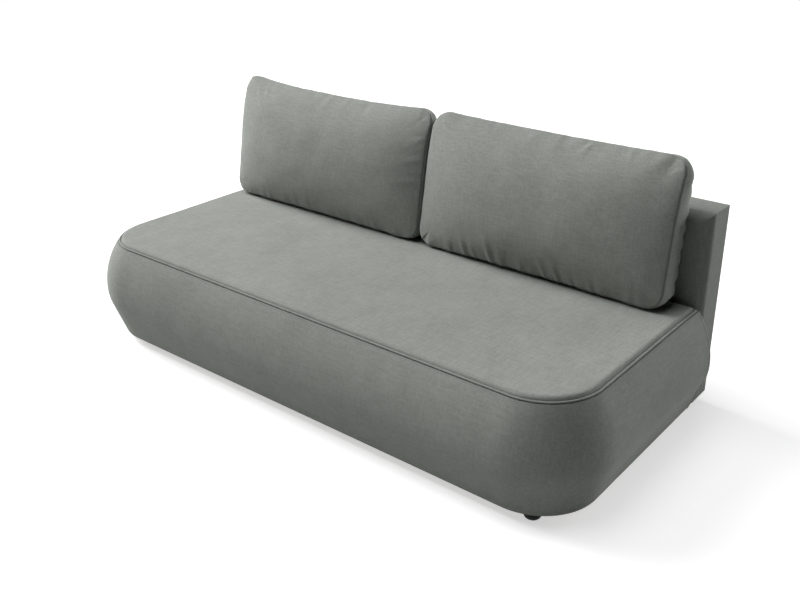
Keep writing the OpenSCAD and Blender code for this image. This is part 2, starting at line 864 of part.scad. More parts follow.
// From the flat pattern to the place on the sofa: p[2] is the depth towards the viewer.
function seated(p, x0) = let (
        y = y_back - cushion_foot - p[2] * cos(cushion_lean) + (p[1] + cushion_h / 2) * sin(cushion_lean),
        z = lean_z + p[2] * sin(cushion_lean) + (p[1] + cushion_h / 2) * cos(cushion_lean))
    [x0 + p[0], min(y, y_back - cushion_gap), max(z, rest_z)];
module cushion(x0) {
    nu = cushion_nu;
    nv = cushion_nv;
    us = [for (i = [0:nu]) spread(2 * i / nu - 1)];
    vs = [for (j = [0:nv]) spread(2 * j / nv - 1)];
    front = [for (j = [0:nv]) for (i = [0:nu]) seated(face_point(us[i], vs[j], true), x0)];
    rear = [for (j = [0:nv]) for (i = [0:nu]) seated(face_point(us[i], vs[j], false), x0)];
    n = (nu + 1) * (nv + 1);
    rim = concat([for (i = [0:nu - 1]) [i, 0]], [for (j = [0:nv - 1]) [nu, j]],
                 [for (i = [nu:-1:1]) [i, nv]], [for (j = [nv:-1:1]) [0, j]]);
    m = len(rim);
    band = [for (k = [1:cushion_rows - 1]) for (q = rim) seated(band_point(us[q[0]], vs[q[1]], k), x0)];
    // Index of a rim point in row k, row 0 being the front seam and the last row the rear seam.
    rows = [for (k = [0:cushion_rows]) [for (c = [0:m - 1]) let (q = rim[c], a = q[1] * (nu + 1) + q[0])
        k == 0 ? a : k == cushion_rows ? n + a : 2 * n + (k - 1) * m + c]];
    polyhedron(
        points = concat(front, rear, band),
        faces = concat(
            [for (j = [0:nv - 1]) for (i = [0:nu - 1]) let (a = j * (nu + 1) + i) [a, a + nu + 1, a + nu + 2]],
            [for (j = [0:nv - 1]) for (i = [0:nu - 1]) let (a = j * (nu + 1) + i) [a, a + nu + 2, a + 1]],
            [for (j = [0:nv - 1]) for (i = [0:nu - 1]) let (a = n + j * (nu + 1) + i) [a, a + nu + 2, a + nu + 1]],
            [for (j = [0:nv - 1]) for (i = [0:nu - 1]) let (a = n + j * (nu + 1) + i) [a, a + 1, a + nu + 2]],
            [for (k = [0:cushion_rows - 1]) for (c = [0:m - 1]) let (d = (c + 1) % m)
                [rows[k][c], rows[k][d], rows[k + 1][d]]],
            [for (k = [0:cushion_rows - 1]) for (c = [0:m - 1]) let (d = (c + 1) % m)
                [rows[k][c], rows[k + 1][d], rows[k + 1][c]]]
        ),
        convexity = 6
    );
}
cushion_x = cushion_w / 2 + band_swell + 2;
module cushion_left() {
    color(cloth) cushion(-cushion_shift - cushion_x);
}
module cushion_right() {
    color(cloth) cushion(-cushion_shift + cushion_x);
}

seat_cover();
seat_topper();
seat_welt();
seat_rear_band();
seat_mattress();
skirt_padding(-1);  // skirt_padding_left
skirt_padding(1);  // skirt_padding_right
skirt_padding_front();
corner_padding(-1);  // corner_padding_left
corner_padding(1);  // corner_padding_right
side_board(-1);  // side_board_left
side_board(1);  // side_board_right
front_board();
corner_former(-1);  // corner_former_left
corner_former(1);  // corner_former_right
hem_rail(-1);  // hem_rail_left
hem_rail(1);  // hem_rail_right
hem_rail_front();
hem_corner(-1);  // hem_corner_left
hem_corner(1);  // hem_corner_right
front_foot(-1);  // front_foot_left
front_foot(1);  // front_foot_right
seat_front_rail();
seat_rear_rail();
seat_slats();
seat_slat_pads();
rail_brackets();
stub_axles();
roller(-1, roller_y_front);  // roller_front_left
roller(-1, roller_y_rear);  // roller_rear_left
roller(1, roller_y_front);  // roller_front_right
roller(1, roller_y_rear);  // roller_rear_right
track(-1);  // track_left
track(1);  // track_right
track_stops();
base_rail(-1);  // base_rail_left
base_rail(1);  // base_rail_right
base_cross_rail();
slat_ledger();
base_slats();
base_slat_pads();
base_legs();
base_glides();
base_brackets();
base_bolts();
back_cover();
back_padding();
back_front_panel();
back_lower_board();
back_rear_panel();
back_posts();
back_top_rail();
back_mid_rail();
back_bottom_rail();
back_dust_cloth();
rear_foot(-1);  // rear_foot_left
rear_foot(1);  // rear_foot_right
cushion_left();
cushion_right();
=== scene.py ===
import math

import bpy
import numpy as np
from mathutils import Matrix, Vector, noise


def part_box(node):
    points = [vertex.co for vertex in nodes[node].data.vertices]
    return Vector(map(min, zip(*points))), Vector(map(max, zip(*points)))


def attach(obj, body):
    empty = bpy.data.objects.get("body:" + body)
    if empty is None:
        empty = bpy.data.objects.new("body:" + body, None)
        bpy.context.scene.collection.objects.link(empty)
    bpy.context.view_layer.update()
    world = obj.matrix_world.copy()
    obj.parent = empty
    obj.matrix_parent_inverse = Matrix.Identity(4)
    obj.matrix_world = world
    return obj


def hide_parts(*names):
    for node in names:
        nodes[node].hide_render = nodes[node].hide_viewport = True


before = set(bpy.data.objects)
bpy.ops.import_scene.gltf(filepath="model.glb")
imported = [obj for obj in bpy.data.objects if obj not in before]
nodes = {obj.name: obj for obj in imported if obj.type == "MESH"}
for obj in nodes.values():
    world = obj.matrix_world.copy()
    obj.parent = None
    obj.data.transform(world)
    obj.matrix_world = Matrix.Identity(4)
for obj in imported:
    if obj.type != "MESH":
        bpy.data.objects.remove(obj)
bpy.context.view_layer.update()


# Camera
# It stands off the right front corner, some 1.8 m up, and looks down on the seat. The shift moves the sofa up
# in the picture without tilting the uprights.
azimuth, elevation = math.radians(38.8), math.radians(22.15)
bpy.ops.object.camera_add(location=(2.0562, -2.4399, 1.7734), rotation=(math.pi / 2 - elevation, 0, azimuth))
camera = bpy.context.object
camera.name = "camera"
camera.data.lens = 43.21
camera.data.shift_y = -0.0625
bpy.context.scene.camera = camera


# Floor and light
# A white studio floor that keeps the sofa's soft shadow. Two softboxes stand at the left, one high and one
# low. A low light comes from behind the right end and a weak one from above, so that the right front corner
# gets least light.
class Tone:
    """A value that can vary over a surface. It is added and multiplied as a number is."""

    def __init__(self, tree, socket):
        self.tree, self.socket = tree, socket

    def _math(self, operation, other):
        return self.tree.node("ShaderNodeMath", {"operation": operation}, {0: self, 1: other})

    def __add__(self, other):
        return self._math("ADD", other)

    def __mul__(self, other):
        return self._math("MULTIPLY", other)

    __radd__ = __add__
    __rmul__ = __mul__


class NodeTree:
    """The steps by which a finish, or the look of the studio's surroundings, is worked out."""

    def __init__(self, tree):
        self.nodes, self.links = tree.nodes, tree.links

    def node(self, kind, settings=(), sockets=(), output=0):
        """Adds one step: its settings first, then the values or links that go into it."""
        made = self.nodes.new(kind)
        for key, value in dict(settings).items():
            setattr(made, key, value)
        for key, value in dict(sockets).items():
            self.feed(made.inputs[key], value)
        return Tone(self, made.outputs[output])

    def feed(self, socket, value):
        if isinstance(value, Tone):
            self.links.new(value.socket, socket)
        else:
            socket.default_value = value

    def sees_white(self):
        """1 for a ray from the camera, off a gloss or through something clear: it sees the studio white."""
        rays = ("Is Camera Ray", "Is Glossy Ray", "Is Transmission Ray")
        return sum(self.node("ShaderNodeLightPath", output=ray) for ray in rays)


class Finish(NodeTree):
    """One finish: its colour, its roughness and its relief."""

    def __init__(self, name, **constants):
        self.material = bpy.data.materials.new(name)
        self.material.use_nodes = True
        super().__init__(self.material.node_tree)
        self.shader = self.nodes["Principled BSDF"]
        for socket, value in constants.items():
            self.shader.inputs[socket.replace("_", " ").title().replace("Ior", "IOR")].default_value = value

    def spots(self, scale, stretch=(1, 1, 1), detail=2.0, offset=0.0, turn=0.0):
        """Soft random spots in the object's own space, from 0 to 1, drawn out where the stretch is small."""
        place = self.node("ShaderNodeTexCoord", output="Object")
        laid = {"Vector": place, "Scale": stretch, "Rotation": (0, 0, turn), "Location": (offset,) * 3}
        place = self.node("ShaderNodeMapping", {}, laid)
        return self.node("ShaderNodeTexNoise", {}, {"Vector": place, "Scale": scale, "Detail": detail})

    def sharpen(self, value, low, high):
        """Stretches the range from low to high over 0 to 1."""
        ends = {"Value": value, "From Min": low, "From Max": high}
        return self.node("ShaderNodeMapRange", {"clamp": True}, ends)

    def mix(self, factor, a, b):
        """One colour fading into another."""
        a, b = [c if isinstance(c, Tone) else (*c, 1) for c in (a, b)]
        return self.node("ShaderNodeMix", {"data_type": "RGBA"}, {0: factor, 6: a, 7: b}, output=2)

    def made_of(self, color, roughness=None, height=None, depth=0.0005, strength=0.5):
        """Feeds the shader's colour and roughness, and a height in metres of depth as bump."""
        self.feed(self.shader.inputs["Base Color"], color)
        if roughness is not None:
            self.feed(self.shader.inputs["Roughness"], roughness)
        if height is not None:
            relief = {"Height": height, "Distance": depth, "Strength": strength}
            self.feed(self.shader.inputs["Normal"], self.node("ShaderNodeBump", {}, relief))
        return self.material


bpy.ops.mesh.primitive_circle_add(vertices=96, radius=6.0, fill_type="NGON")
floor = bpy.context.object
floor.name = "studio_floor"
paper = Finish("floor_paper", roughness=0.9)
paper.made_of((0.56, 0.57, 0.56, 1))
dull = Tone(paper, paper.shader.outputs[0])
white = paper.node("ShaderNodeBsdfDiffuse", {}, {"Color": (0.68, 0.68, 0.68, 1)})
glow = paper.node("ShaderNodeEmission", {}, {"Color": (1, 1, 1, 1), "Strength": 0.56})
lit = paper.node("ShaderNodeAddShader", {}, {0: white, 1: glow})
chosen = paper.node("ShaderNodeMixShader", {}, {0: paper.sees_white(), 1: dull, 2: lit})
paper.feed(paper.nodes["Material Output"].inputs["Surface"], chosen)
floor.data.materials.append(paper.material)

world = bpy.data.worlds.new("studio")
bpy.context.scene.world = world
world.use_nodes = True
sky = NodeTree(world.node_tree)
around = sky.nodes["Background"]
around.inputs["Color"].default_value = (0.85, 1.0, 0.92, 1)
around.inputs["Strength"].default_value = 0.01
dim = Tone(sky, around.outputs[0])
backdrop = sky.node("ShaderNodeBackground", {}, {"Color": (1, 1, 1, 1), "Strength": 1.0})
chosen = sky.node("ShaderNodeMixShader", {}, {0: sky.sees_white(), 1: dim, 2: backdrop})
sky.feed(sky.nodes["World Output"].inputs["Surface"], chosen)
bpy.context.scene.view_settings.view_transform = "Standard"


def softbox(name, toward, distance, size, strength):
    """A round softbox that faces the sofa from a direction. The strength is what it gives at the middle."""
    place = Vector(toward).normalized() * distance
    bpy.ops.object.light_add(type="AREA", location=place)
    light = bpy.context.object
    light.name = name
    light.data.shape = "DISK"
    light.data.size = size
    light.data.energy = strength * math.pi ** 2 * distance ** 2
    light.rotation_euler = place.to_track_quat("Z", "Y").to_euler()


def soft_sun(name, toward, spread, strength):
    """A distant soft light that comes from a direction and fills a cone of that many degrees."""
    bpy.ops.object.light_add(type="SUN", location=Vector(toward) * 4)
    light = bpy.context.object
    light.name = name
    light.data.energy = strength * math.pi
    light.data.angle = math.radians(spread)
    light.rotation_euler = Vector(toward).to_track_quat("Z", "Y").to_euler()


softbox("light_left_high", (-0.727, -0.135, 0.669), 10.0, 7.0, 1.20)
softbox("light_left_low", (-0.98, -0.09, 0.12), 10.0, 7.0, 0.38)
soft_sun("light_behind", (0.37, 0.92, 0.105), 40, 0.94)
soft_sun("light_above", (-0.19, -0.20, 0.93), 38, 0.37)


# Seat skirt
# Pile fabric over a foam roll on the two sides, the front and the two round corners, turned under at the hem
# and closed at the rear ends. In side view it is an arc up to the top seam and a tighter one down to a
# straight slope.
seat_low, seat_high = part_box("seat_cover")
half_w, y_front, y_seat = seat_high.x, seat_low.y, seat_high.y
seam_z, bulge_z, hem_z = 0.409, 0.224, 0.040
corner_r, belly_r, skirt_t, cover_t = 0.255, 0.180, 0.088, 0.003
top_inset, hem_inset, hem_fold = 0.063, 0.054, 0.003
lip_z = seam_z - 0.0068
corner_x, corner_y = half_w - corner_r, y_front + corner_r
seam_r = corner_r - top_inset - cover_t
CLOTH = (0.245, 0.255, 0.236)


def pile_fabric(name, light=1.0, seam=True):
    """Short grey-green pile: fine threads, cloudy patches where the nap lies another way, painted shade at
    seams.
    """
    cloth = Finish(name, sheen_weight=0.16, sheen_roughness=0.45, sheen_tint=(0.80, 0.84, 0.80, 1),
                   specular_ior_level=0.02)
    across = cloth.spots(200, (0.10, 1, 1), 2.0)
    along = cloth.spots(200, (1, 0.10, 1), 2.0, 3.1)
    upright = cloth.spots(200, (1, 1, 0.10), 2.0, 7.7)
    threads = (across + along + upright) * 0.3333
    clouds = cloth.spots(3.2, detail=3.0, offset=1.7)
    brushed = cloth.spots(13, (1, 0.55, 0.7), 3.0, 5.3, 0.4)
    flecks = cloth.spots(900, detail=1.0, offset=2.2)
    tone = cloth.sharpen(threads, 0.41, 0.59) * 0.46 + cloth.sharpen(clouds, 0.3, 0.7) * 0.22
    tone = tone + cloth.sharpen(brushed, 0.3, 0.7) * 0.18 + flecks * 0.14
    # light scales the cloth's colour into lighter or darker copies of the one cloth. Some calls below use
    # these copies as painted light and painted shade.
    shade, dark, pale = [[c * step * light for c in CLOTH] for step in (0.35, 0.80, 1.20)]
    color = cloth.mix(tone, dark, pale)
    # Painted shade: along the seams the colour darkens towards a third of the cloth's, the grooves' shadow
    # painted in.
    if seam:
        sewn = cloth.node("ShaderNodeAttribute", {"attribute_name": "sewn"}, output="Fac")
        color = cloth.mix(sewn * 0.8, color, shade)
    height = cloth.sharpen(threads, 0.3, 0.7) * 0.7 + flecks * 0.3
    return cloth.made_of(color, 0.86 + 0.1 * clouds, height, 0.0007, 0.55)


def dressed(piece, material, body, slot, *stood_for):
    """Gives a piece its material, hangs it on its body and hides the parts that it stands for. The slot is not
    used.
    """
    piece.data.materials.clear()
    piece.data.materials.append(material)
    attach(piece, body)
    if stood_for:
        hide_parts(*stood_for)


def strip_uv(piece):
    """Removes a primitive's own UV map, which no finish here reads."""
    for layer in list(piece.data.uv_layers):
        piece.data.uv_layers.remove(layer)


def paint_seam_shade(piece, seam_shade_marks):
    """Keeps, for each point, how much painted shade the fabric gets there: the seam grooves' shadow, painted
    in.
    """
    seam_shade_marks = np.asarray(seam_shade_marks, float).reshape(-1)
    piece.data.attributes.new("sewn", "FLOAT", "POINT").data.foreach_set("value", seam_shade_marks)


def sheet(name, rows):
    """A grid primitive laid over rows of points."""
    n, m = rows.shape[:2]
    bpy.ops.object.select_all(action="DESELECT")
    bpy.ops.mesh.primitive_grid_add(x_subdivisions=m - 1, y_subdivisions=n - 1, size=1)
    piece = bpy.context.object
    piece.name = piece.data.name = name
    piece.data.vertices.foreach_set("co", rows.reshape(-1))
    strip_uv(piece)
    return piece


def loft(name, rows, seam_shade_marks=None):
    """A sheet over rows of points as a closed piece: what meets is merged, and open ends are filled."""
    piece = sheet(name, np.asarray(rows, float))
    if seam_shade_marks is not None:
        paint_seam_shade(piece, seam_shade_marks)
    bpy.ops.object.mode_set(mode="EDIT")
    bpy.ops.mesh.select_all(action="SELECT")
    bpy.ops.mesh.remove_doubles(threshold=1e-5)
    bpy.ops.mesh.select_all(action="SELECT")
    bpy.ops.mesh.fill_holes(sides=0)
    bpy.ops.mesh.select_all(action="SELECT")
    bpy.ops.mesh.normals_make_consistent(inside=False)
    bpy.ops.object.mode_set(mode="OBJECT")
    bpy.ops.object.shade_smooth_by_angle(angle=math.radians(50))
    return piece


def seat_run(step=0.009):
    """Stations along the seat's edge, from the right rear round the front to the left rear: place, way out."""
    side = int((y_seat - corner_y) / step)
    turn = int(corner_r * math.pi / 2 / step)
    angles = np.linspace(0, math.pi / 2, turn + 1)[:-1]
    run = [((corner_x, y), (1, 0)) for y in np.linspace(y_seat, corner_y, side + 1)[:-1]]
    run += [((corner_x, corner_y), (math.cos(a), -math.sin(a))) for a in angles]
    run += [((x, corner_y), (0, -1)) for x in np.linspace(corner_x, 0, int(corner_x / step) + 1)[:-1]]
    left = [((-x, y), (-nx, ny)) for (x, y), (nx, ny) in reversed(run)]
    return run + [((0, corner_y), (0, -1))] + left


def skirt_profile():
    """Radius and height down the skirt's outside to the hem, and then under it and up along the boards."""
    crest_r = (top_inset ** 2 + (seam_z - bulge_z) ** 2) / (2 * top_inset)
    run, drop = belly_r - hem_inset, bulge_z - hem_z
    slope = math.atan2(drop, run) - math.acos(belly_r / math.hypot(run, drop))
    lip_r, hem_r, inner_r = corner_r - top_inset, corner_r - hem_inset, corner_r - skirt_t + 0.001
    outside = [(lip_r - 0.012, lip_z - 0.006), (lip_r - 0.005, lip_z - 0.0025)]
    for z in np.concatenate([np.linspace(lip_z, lip_z - 0.012, 6), np.linspace(lip_z - 0.016, bulge_z, 21)]):
        drawn = 0.0008 * math.exp(-(lip_z - z) / 0.0035)
        outside.append((corner_r - crest_r + math.sqrt(crest_r ** 2 - (z - bulge_z) ** 2) - drawn, z))
    for a in np.linspace(0, slope, 8)[1:]:
        outside.append((corner_r - belly_r + belly_r * math.cos(a), bulge_z - belly_r * math.sin(a)))
    foot_r, foot_z = outside[-1]
    for t in np.linspace(0, 1, 13)[1:]:
        outside.append((foot_r + (hem_r - foot_r) * t, foot_z + (hem_z - foot_z) * t))
    under_z = hem_z - hem_fold
    turned = [(hem_r - 0.0015, hem_z - 0.0018), (hem_r - 0.005, under_z), (hem_r - 0.014, under_z)]
    return outside, turned + [(inner_r, under_z), (inner_r, seam_z - 0.012), outside[0]]


outside, inside = skirt_profile()
rows, seam_shade_marks = [], []
walked, last = 0.0, None
for (x, y), (nx, ny) in seat_run():
    here = Vector((x + nx * corner_r, y + ny * corner_r, 0))
    walked += (here - last).length if last else 0
    last = here
    row, seam_shade_row = [], []
    for k, (r, z) in enumerate(outside + inside):
        on_face = k < len(outside)
        if on_face and k > 1:
            free = min(1, (seam_z - z) / 0.05) * min(1, (z - hem_z) / 0.03)
            by_seam = math.exp(-(seam_z - z) / 0.018) * min(k - 1, 2) / 2
            r += 0.0016 * free * noise.noise(Vector((walked * 3.1, z * 4.0, 0.3)))
            r += 0.0007 * noise.noise(Vector((walked * 11, z * 7.0, 4.1))) * min(1, free + 0.3)
            r += 0.0006 * noise.noise(Vector((walked * 60, 0, 9.4))) * by_seam
        row.append((x + nx * r, y + ny * r, z))
        # Painted shade just under the cord, where the groove's shadow falls.
        seam_shade_row.append(0.25 * math.exp(-((lip_z - z) / 0.0035) ** 2) if on_face else 0)
    rows.append(row)
    seam_shade_marks.append(seam_shade_row)
skirt = loft("seat_skirt", rows, seam_shade_marks)
dressed(skirt, pile_fabric("seat_pile_fabric"), "seat", "seat_fabric", "seat_cover", "skirt_padding_left",
        "skirt_padding_right", "skirt_padding_front", "corner_padding_left", "corner_padding_right")


# Seam cords
# The top panel is joined to the skirt with a fabric-covered cord, stitched hard under it. A thinner piping
# finishes the upright rear edge of each end. Its cloth is 2.2 times as light as the rest: a painted highlight
# along that edge.
cord_r, cord_z, cord_run = 0.0037, seam_z - 0.0038, seam_r + 0.0004
rear_y = y_seat - 0.004
piping_r, piping_y, piping_inset = 0.0025, y_seat - 0.0020, 0.0004


def tube(name, path, radius, around=10, closed=False, ripple=0.0):
    """A round cord along a path of points, with a slight unevenness where the stitches pull."""
    path = [Vector(p) for p in path]
    count = len(path)
    rows, walked = [], 0.0
    for i, p in enumerate(path):
        before = path[(i - 1) % count if closed else max(i - 1, 0)]
        after = path[(i + 1) % count if closed else min(i + 1, count - 1)]
        walked += (p - path[i - 1]).length if i else 0
        way = (after - before).normalized()
        flat = way.cross(Vector((0, 0, 1)))
        side = (flat if flat.length > 0.05 else way.cross(Vector((0, 1, 0)))).normalized()
        up = side.cross(way)
        size = radius * (1 + ripple * noise.noise(Vector((walked * 90, 1.3, radius * 1000))))
        rows.append([p + side * size * math.cos(a) + up * size * math.sin(a)
                     for a in np.linspace(0, 2 * math.pi, around + 1)])
    if closed:
        rows.append(rows[0])
    return loft(name, rows)


seam_path = [(x + nx * cord_run, min(y + ny * cord_run, rear_y), cord_z)
             for (x, y), (nx, ny) in seat_run(0.006)]
rear_path = [(x, rear_y, cord_z)
             for x in np.arange(-corner_x - seam_r + 0.01, corner_x + seam_r - 0.005, 0.012)]
cord = tube("seat_seam_cord", seam_path + rear_path, cord_r, closed=True, ripple=0.10)
dressed(cord, pile_fabric("seam_cord_fabric", 1.0, seam=False), "seat", "seam_cord", "seat_welt")
# Painted highlight: the piping's cloth is made 2.2 times as light, for the light line along the rear edges.
piping_painted_highlight_cloth = pile_fabric("end_piping_painted_highlight_fabric", 2.2, seam=False)
for side, word in ((1, "right"), (-1, "left")):
    edge = [(side * (corner_x + r - piping_inset), piping_y, z) for r, z in (outside + inside[:1])[2:]]
    dressed(tube(f"end_piping_{word}", edge, piping_r, 8, ripple=0.08), piping_painted_highlight_cloth, "seat", "seat_fabric")


# Seat top panel
# The panel that one sits and sleeps on: pile fabric over wadding, a little crowned, rolled down to the cord
# all round, with the small dimples that the stitching leaves along it.
panel_inset = top_inset + cover_t + 0.0025
panel_half, panel_r = half_w - panel_inset, corner_r - panel_inset
panel_front, panel_rear = y_front + panel_inset, y_seat - 0.0068
panel_roll, panel_rise, panel_crown = 0.016, 0.0160, 0.0012
rim_z, underside_z, rear_roll = seam_z - 0.0070, seam_z - 0.0120, 0.03


def panel_gap(x, y, reach):
    """How far a place lies from the panel's edge, which is that far from the middle at this depth."""
    gap_side, gap_front = reach - abs(x), y - panel_front
    if y < corner_y and abs(x) > corner_x:
        gap_front = gap_side = panel_r - math.hypot(abs(x) - corner_x, corner_y - y)
    return max(min(gap_side, gap_front, panel_rear - y), 0)


def panel_height(x, y, gap):
    """The panel's height: a rolled edge, a slight crown, soft unevenness and the stitching's dimples."""
    roll = min(gap / panel_roll, 1)
    depth = 2 * (y - panel_front) / (panel_rear - panel_front) - 1
    crown = panel_crown * (1 - abs(x / panel_half) ** 4) * (1 - abs(depth) ** 4)
    z = rim_z + panel_rise * math.sqrt(max(1 - (1 - roll) ** 2, 0)) + crown
    z += 0.0012 * noise.noise(Vector((x * 2.6, y * 3.4, 1.1))) * roll
    z += 0.0006 * noise.noise(Vector((x * 9, y * 11, 6.1))) * roll
    return z - 0.0008 * (0.5 + noise.noise(Vector((x * 55, y * 55, 2.7)))) * math.exp(-gap / 0.012)


across = np.linspace(-1, 1, 201)
across = np.sin(across * math.pi / 2) * 0.35 + across * 0.65
turn_rows = [corner_y - panel_r * math.cos(a) for a in np.linspace(0, math.pi / 2, 26)]
straight_rows = list(np.linspace(corner_y, panel_rear - rear_roll, 52)[1:])
edge_rows = list(panel_rear - rear_roll + rear_roll * np.sin(np.linspace(0, math.pi / 2, 8)[1:]))
rows, seam_shade_marks = [], []
for y in turn_rows + straight_rows + edge_rows:
    in_corner = corner_x + math.sqrt(max(panel_r ** 2 - (corner_y - y) ** 2, 0))
    reach = panel_half if y >= corner_y else in_corner
    gaps = [panel_gap(u * reach, y, reach) for u in across]
    rows.append([(u * reach, y, panel_height(u * reach, y, gap)) for u, gap in zip(across, gaps)])
    # Painted shade along the panel's edge, in the groove against the cord.
    seam_shade_marks.append([0.35 * math.exp(-(gap / 0.0035) ** 2) for gap in gaps])
under = [[(x, y, underside_z) for x, y, z in row] for row in reversed(rows)]
panel = loft("seat_top_panel", rows + under, seam_shade_marks + [[0] * len(across)] * len(rows))
# Painted light: the panel's cloth is 6% lighter than the skirt's, for the stronger light on the top.
dressed(panel, pile_fabric("seat_panel_painted_light_fabric", 1.06), "seat", "seat_fabric", "seat_topper")


# Mattress and its rear cover
# A foam core in ticking that fills the hood from the slats up, with a strip of lining over the rear, which
# shows when the seat is pulled out.
core_low, core_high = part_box("seat_mattress")
core_rear = y_seat - 0.0035
core_edge = ((core_low.z + 0.0008, 0.004), (core_low.z + 0.004, 0.0006),
             (core_high.z - 0.004, 0.0006), (core_high.z - 0.0008, 0.004))
rows = []
for z, shrink in core_edge:
    reach = corner_r - skirt_t - shrink
    ring = [(x + nx * reach, min(y + ny * reach, core_rear - shrink), z)
            for (x, y), (nx, ny) in seat_run(0.02)]
    rows.append(ring + [ring[0]])
mattress = loft("mattress_core", rows)
ticking = Finish("mattress_ticking", sheen_weight=0.1)
stripe = ticking.spots(150, (1, 0.1, 0.1), 1.0)
weave = ticking.spots(700, detail=1.0)
tick = ticking.sharpen(stripe, 0.35, 0.65) * 0.5 + weave * 0.5
ticking.made_of(ticking.mix(tick, (0.62, 0.60, 0.54), (0.78, 0.76, 0.70)), 0.9, weave, 0.0005, 0.5)
dressed(mattress, ticking.material, "seat", "foam", "seat_mattress")


def coordinates(piece, name=None):
    """A mesh's points, or a vector attribute of them, as rows of three numbers."""
    source = piece.data.attributes[name].data if name else piece.data.vertices
    out = np.empty(len(piece.data.vertices) * 3)
    source.foreach_get("vector" if name else "co", out)
    return out.reshape(-1, 3)


def cut_block(name, cuts):
    """A cube cut fine, and its points from -1 to 1 each way, drawn together towards the edges."""
    bpy.ops.object.select_all(action="DESELECT")
    bpy.ops.mesh.primitive_cube_add(size=2)
    piece = bpy.context.object
    piece.name = piece.data.name = name
    bpy.ops.object.mode_set(mode="EDIT")
    bpy.ops.mesh.select_all(action="SELECT")
    bpy.ops.mesh.subdivide(number_cuts=cuts)
    bpy.ops.object.mode_set(mode="OBJECT")
    strip_uv(piece)
    return piece, np.sin(coordinates(piece) * math.pi / 2)


def rounded(points, low, high, r):
    """Rounds all the edges of a block."""
    core = np.clip(points, low + r, high - r)
    away = points - core
    length = np.linalg.norm(away, axis=1, keepdims=True)
    most = np.abs(away).max(axis=1, keepdims=True)
    return core + np.where(length > 1e-9, away / np.maximum(length, 1e-9) * most, 0)


band_low, band_high = [np.array(v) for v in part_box("seat_rear_band")]
band_low, band_high = band_low + (0.0005, 0.0003, 0.001), band_high - (0.0005, 0.0006, 0.0005)
lining, cube = cut_block("seat_rear_lining", 20)
co = (band_high + band_low) / 2 + cube * (band_high - band_low) / 2
lining.data.vertices.foreach_set("co", rounded(co, band_low, band_high, 0.0008).reshape(-1))
bpy.ops.object.shade_smooth_by_angle(angle=math.radians(50))
lining_cloth = pile_fabric("rear_lining_fabric", 0.86, seam=False)
dressed(lining, lining_cloth, "seat", "lining_fabric", "seat_rear_band")


# Upright back
# One slab from just above the floor to the shoulder of the cushions: fabric drawn over foam, soft along the
# front's top and side edges, crisp where the top meets the ends and along the rear.
slab_low, slab_high = [np.array(v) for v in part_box("back_cover")]
slab_middle, slab_half = (slab_low + slab_high) / 2, (slab_high - slab_low) / 2
front_round, rear_round, slab_puff = 0.034, 0.003, 0.0018


def eased(points):
    """Rounds the slab's front and rear rims along the ends and the top. Ends and top meet in a crisp edge."""
    side = np.where(points < slab_middle, -1, 1)
    r = np.where(points[:, 1] < slab_middle[1], front_round, rear_round)[:, None]
    out = np.maximum(np.abs(points - slab_middle) - slab_half + r, 0)
    out[:, 2] *= points[:, 2] > slab_middle[2]
    wide, deep = np.maximum(out[:, 0], out[:, 2]), out[:, 1]
    on_arc = np.maximum(wide, deep) / np.maximum(np.hypot(wide, deep), 1e-9)
    share = np.where((wide > 0) & (deep > 0), on_arc, 1)
    return points - side * out * (1 - share[:, None])


slab, cube = cut_block("back_slab", 56)
co = slab_middle + cube * slab_half
puff = slab_puff * (1 - np.abs(cube[:, 0]) ** 10) * (1 - np.abs(cube[:, 2]) ** 8)
co[:, 1] -= np.where(cube[:, 1] < -0.999, puff, 0)
co = eased(co)
for p in co:
    near_front = max(0.0, 1 - (p[1] - slab_low[1]) / 0.03)
    p[1] -= 0.0007 * noise.noise(Vector((p[0] * 4, 0, p[2] * 5))) * near_front
    p[2] -= 0.0006 * noise.noise(Vector((p[0] * 9, 3.3, 0))) * (p[2] > 0.70)
slab.data.vertices.foreach_set("co", co.reshape(-1))
# Painted shade along the crisp edge where the top meets each end.
from_corner = np.hypot(np.abs(np.abs(co[:, 0]) - slab_high[0]), slab_high[2] - co[:, 2])
paint_seam_shade(slab, np.exp(-(from_corner / 0.0035) ** 2) * 0.25)
bpy.ops.object.shade_smooth_by_angle(angle=math.radians(40))
# Painted shade: the back's cloth is 12% darker than the seat's, for the shade it stands in.
dressed(slab, pile_fabric("back_painted_shade_fabric", 0.88), "base", "back_fabric", "back_cover", "back_padding")


# Back cushions
# Two boxed cushions: a front and a rear face sewn to a band, filled until they swell between the seams,
# leaning on the back and flattened where they touch it and the seat. Their seams draw the cover into short
# folds.
cushion_w, cushion_h, cushion_band = 0.984, 0.500, 0.096
cushion_corner, cushion_swell, cushion_drop = 0.066, 0.005, 0.022
cushion_lean, cushion_foot = math.radians(9), 0.148
cushion_front, cushion_rear = 0.060, 0.030
cushion_raise, seam_back, seam_groove = 0.008, 0.034, 0.0024
back_y = float(slab_low[1])
rest_z = seam_z + 0.0066
lean_z = rest_z + 0.0100


def spread(count):
    """Places from -1 to 1, closer together near both ends."""
    t = np.linspace(-1, 1, count)
    return np.sin(t * math.pi / 2) * 0.45 + t * 0.55


